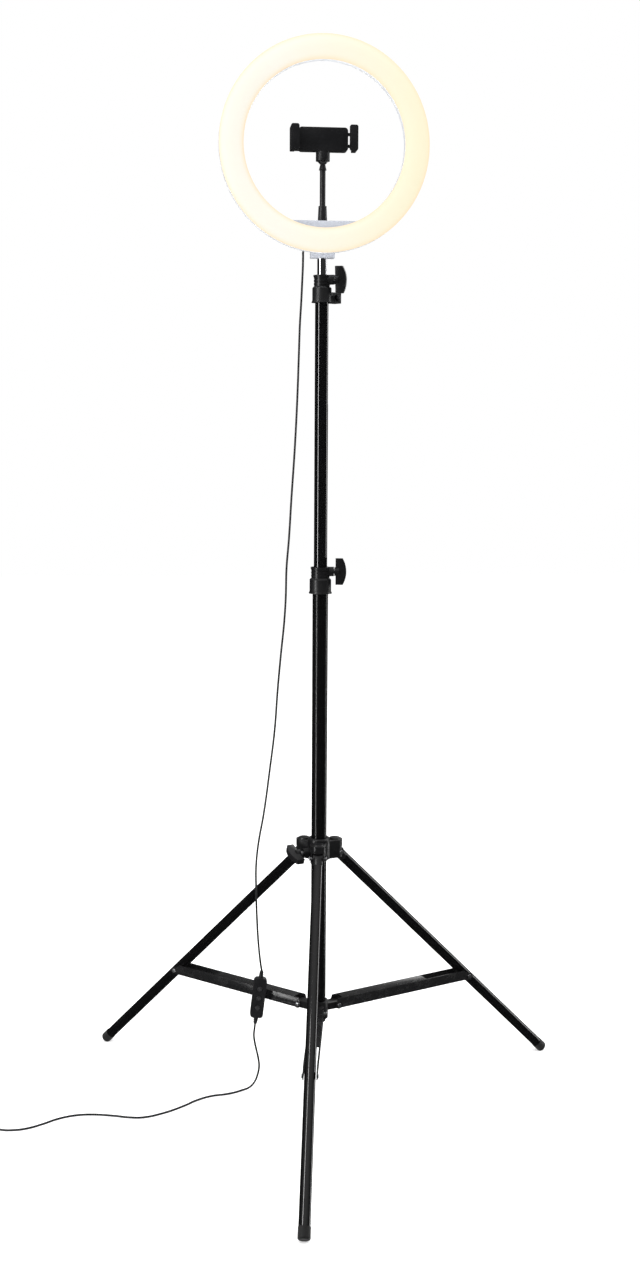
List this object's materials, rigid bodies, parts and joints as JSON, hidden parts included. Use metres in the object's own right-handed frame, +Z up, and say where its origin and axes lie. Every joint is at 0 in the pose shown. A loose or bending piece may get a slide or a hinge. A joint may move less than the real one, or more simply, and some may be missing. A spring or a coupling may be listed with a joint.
{
  "type": "ring light",
  "caption": "Ring lamp on a folding tripod stand with telescoping poles, wing knobs, a sprung phone clamp on a stalk and a USB lead with an inline controller.",
  "frame": {"origin": "on the floor, under the column's axis", "axes": "+Z up along the column, -Y towards the viewer, the way the lamp faces, +X to the lamp's right as seen from in front"},
  "size_m": [0.8524, 0.5916, 1.3427],
  "materials": {
    "pole_black": "gloss black powder coat",
    "plastic_black": "moulded satin",
    "knob_black": "moulded satin",
    "rubber_black": "moulded",
    "chrome": "polished",
    "steel_bright": "zinc plated",
    "bush_white": "moulded nylon",
    "brass": "turned",
    "lamp_white": "satin white",
    "opal_warm": "opal diffuser, lit warm white",
    "board_white": "white solder mask",
    "led_yellow": "phosphor",
    "clamp_black": "fine texture",
    "pad_grey": "soft pad",
    "controller_black": "satin",
    "button_grey": "silicone",
    "lead_black": "satin jacket",
    "tie_black": "woven hook-and-loop"
  },
  "bodies": {
    "column": {"column_tube": "pole_black", "column_plug": "plastic_black", "lower_bracket": "plastic_black", "bracket_rivets": "steel_bright", "middle_collar": "plastic_black", "controller_case": "controller_black", "controller_cover": "controller_black", "controller_reliefs": "lead_black", "cord_upper": "lead_black", "cord_lower": "lead_black", "cord_coil": "lead_black", "coil_tie": "tie_black", "usb_plug": "lead_black"},
    "middle_pole": {"mid_tube": "pole_black", "mid_bush": "bush_white", "top_collar": "plastic_black", "clamp_bolt": "steel_bright"},
    "top_pole": {"top_tube": "chrome", "top_bush": "bush_white", "tripod_stud": "steel_bright"},
    "lamp": {"ring_shell": "lamp_white", "diffuser": "opal_warm", "led_board": "board_white", "led_chips": "led_yellow", "base_housing": "lamp_white", "base_cover": "lamp_white", "socket_insert": "brass", "cable_gland": "lamp_white"},
    "stalk": {"stalk": "clamp_black", "ball_stud": "clamp_black"},
    "phone_clamp": {"clamp_body": "clamp_black", "fixed_pad": "pad_grey"},
    "clamp_jaw": {"moving_jaw": "clamp_black", "moving_pad": "pad_grey"},
    "hub": {"leg_hub": "plastic_black", "hub_rivets": "steel_bright"},
    "middle_knob": {"middle_knob": "knob_black", "middle_screw": "steel_bright"},
    "top_knob": {"top_knob": "knob_black", "top_screw": "steel_bright"},
    "hub_knob": {"hub_knob": "knob_black", "hub_screw": "steel_bright"},
    "button_power": {"button_power": "button_grey"},
    "button_up": {"button_up": "button_grey"},
    "button_down": {"button_down": "button_grey"},
    "leg_front": {"leg_front": "pole_black", "leg_end_front": "plastic_black", "foot_front": "rubber_black"},
    "brace_front": {"brace_front": "pole_black", "brace_rivet_front": "steel_bright"},
    "leg_right": {"leg_right": "pole_black", "leg_end_right": "plastic_black", "foot_right": "rubber_black"},
    "brace_right": {"brace_right": "pole_black", "brace_rivet_right": "steel_bright"},
    "leg_left": {"leg_left": "pole_black", "leg_end_left": "plastic_black", "foot_left": "rubber_black"},
    "brace_left": {"brace_left": "pole_black", "brace_rivet_left": "steel_bright"}
  },
  "joints": [
    {"name": "mid_slide", "type": "slide", "parent": "column", "child": "middle_pole", "axis": [0, 0, 1], "range_m": [-0.31, 0.18]},
    {"name": "top_slide", "type": "slide", "parent": "middle_pole", "child": "top_pole", "axis": [0, 0, 1], "range_m": [-0.006, 0.4]},
    {"name": "lamp_turn", "type": "hinge", "parent": "top_pole", "child": "lamp", "pos_m": [0, 0, 1.0842], "axis": [0, 0, 1], "range_deg": [-30, 60]},
    {"name": "stalk_turn", "type": "hinge", "parent": "lamp", "child": "stalk", "pos_m": [0, -0.001, 1.1282], "axis": [0, 0, 1], "range_deg": [-90, 90]},
    {"name": "clamp_tilt", "type": "hinge", "parent": "stalk", "child": "phone_clamp", "pos_m": [0, -0.001, 1.2012], "axis": [1, 0, 0], "range_deg": [-20, 20]},
    {"name": "jaw_slide", "type": "slide", "parent": "phone_clamp", "child": "clamp_jaw", "axis": [1, 0, 0], "range_m": [0, 0.018], "stiffness_N_per_m": 150, "springref_m": -0.02},
    {"name": "hub_slide", "type": "slide", "parent": "column", "child": "hub", "axis": [0, 0, 1], "range_m": [0, 0.28271]},
    {"name": "middle_knob_turn", "type": "hinge", "parent": "column", "child": "middle_knob", "pos_m": [0.01989, -0.00209, 0.6995], "axis": [0.9945, -0.1045, 0], "range_deg": [-180, 180]},
    {"name": "top_knob_turn", "type": "hinge", "parent": "middle_pole", "child": "top_knob", "pos_m": [0.01879, -0.00684, 1.0585], "axis": [0.9397, -0.342, 0], "range_deg": [-180, 180]},
    {"name": "hub_knob_turn", "type": "hinge", "parent": "hub", "child": "hub_knob", "pos_m": [-0.02741, -0.0122, 0.33765], "axis": [-0.9135, -0.4067, 0], "range_deg": [-180, 180]},
    {"name": "leg_front_fold", "type": "hinge", "parent": "hub", "child": "leg_front", "pos_m": [-0.00385, -0.02672, 0.33465], "axis": [0.9898, -0.1426, 0], "range_deg": [0, 45.3]},
    {"name": "brace_front_fold", "type": "hinge", "parent": "column", "child": "brace_front", "pos_m": [-0.00385, -0.02672, 0.128], "axis": [-0.9898, 0.1426, 0], "range_deg": [0, 88.45]},
    {"name": "leg_right_fold", "type": "hinge", "parent": "hub", "child": "leg_right", "pos_m": [0.02507, 0.01003, 0.33465], "axis": [-0.3714, 0.9285, 0], "range_deg": [0, 45.3]},
    {"name": "brace_right_fold", "type": "hinge", "parent": "column", "child": "brace_right", "pos_m": [0.02507, 0.01003, 0.128], "axis": [0.3714, -0.9285, 0], "range_deg": [0, 88.45]},
    {"name": "leg_left_fold", "type": "hinge", "parent": "hub", "child": "leg_left", "pos_m": [-0.02122, 0.0167, 0.33465], "axis": [-0.6184, -0.7859, 0], "range_deg": [0, 45.3]},
    {"name": "brace_left_fold", "type": "hinge", "parent": "column", "child": "brace_left", "pos_m": [-0.02122, 0.0167, 0.128], "axis": [0.6184, 0.7859, 0], "range_deg": [0, 88.45]},
    {"name": "button_power_press", "type": "slide", "parent": "column", "child": "button_power", "axis": [0, 1, 0], "range_m": [0, 0.0006], "stiffness_N_per_m": 400},
    {"name": "button_up_press", "type": "slide", "parent": "column", "child": "button_up", "axis": [0, 1, 0], "range_m": [0, 0.0006], "stiffness_N_per_m": 400},
    {"name": "button_down_press", "type": "slide", "parent": "column", "child": "button_down", "axis": [0, 1, 0], "range_m": [0, 0.0006], "stiffness_N_per_m": 400}
  ],
  "couplings": [
    {"joint": "leg_front_fold", "follows": "hub_slide", "rad_per_m": 2.7966},
    {"joint": "brace_front_fold", "follows": "hub_slide", "rad_per_m": 5.4608},
    {"joint": "leg_right_fold", "follows": "hub_slide", "rad_per_m": 2.7966},
    {"joint": "brace_right_fold", "follows": "hub_slide", "rad_per_m": 5.4608},
    {"joint": "leg_left_fold", "follows": "hub_slide", "rad_per_m": 2.7966},
    {"joint": "brace_left_fold", "follows": "hub_slide", "rad_per_m": 5.4608}
  ]
}
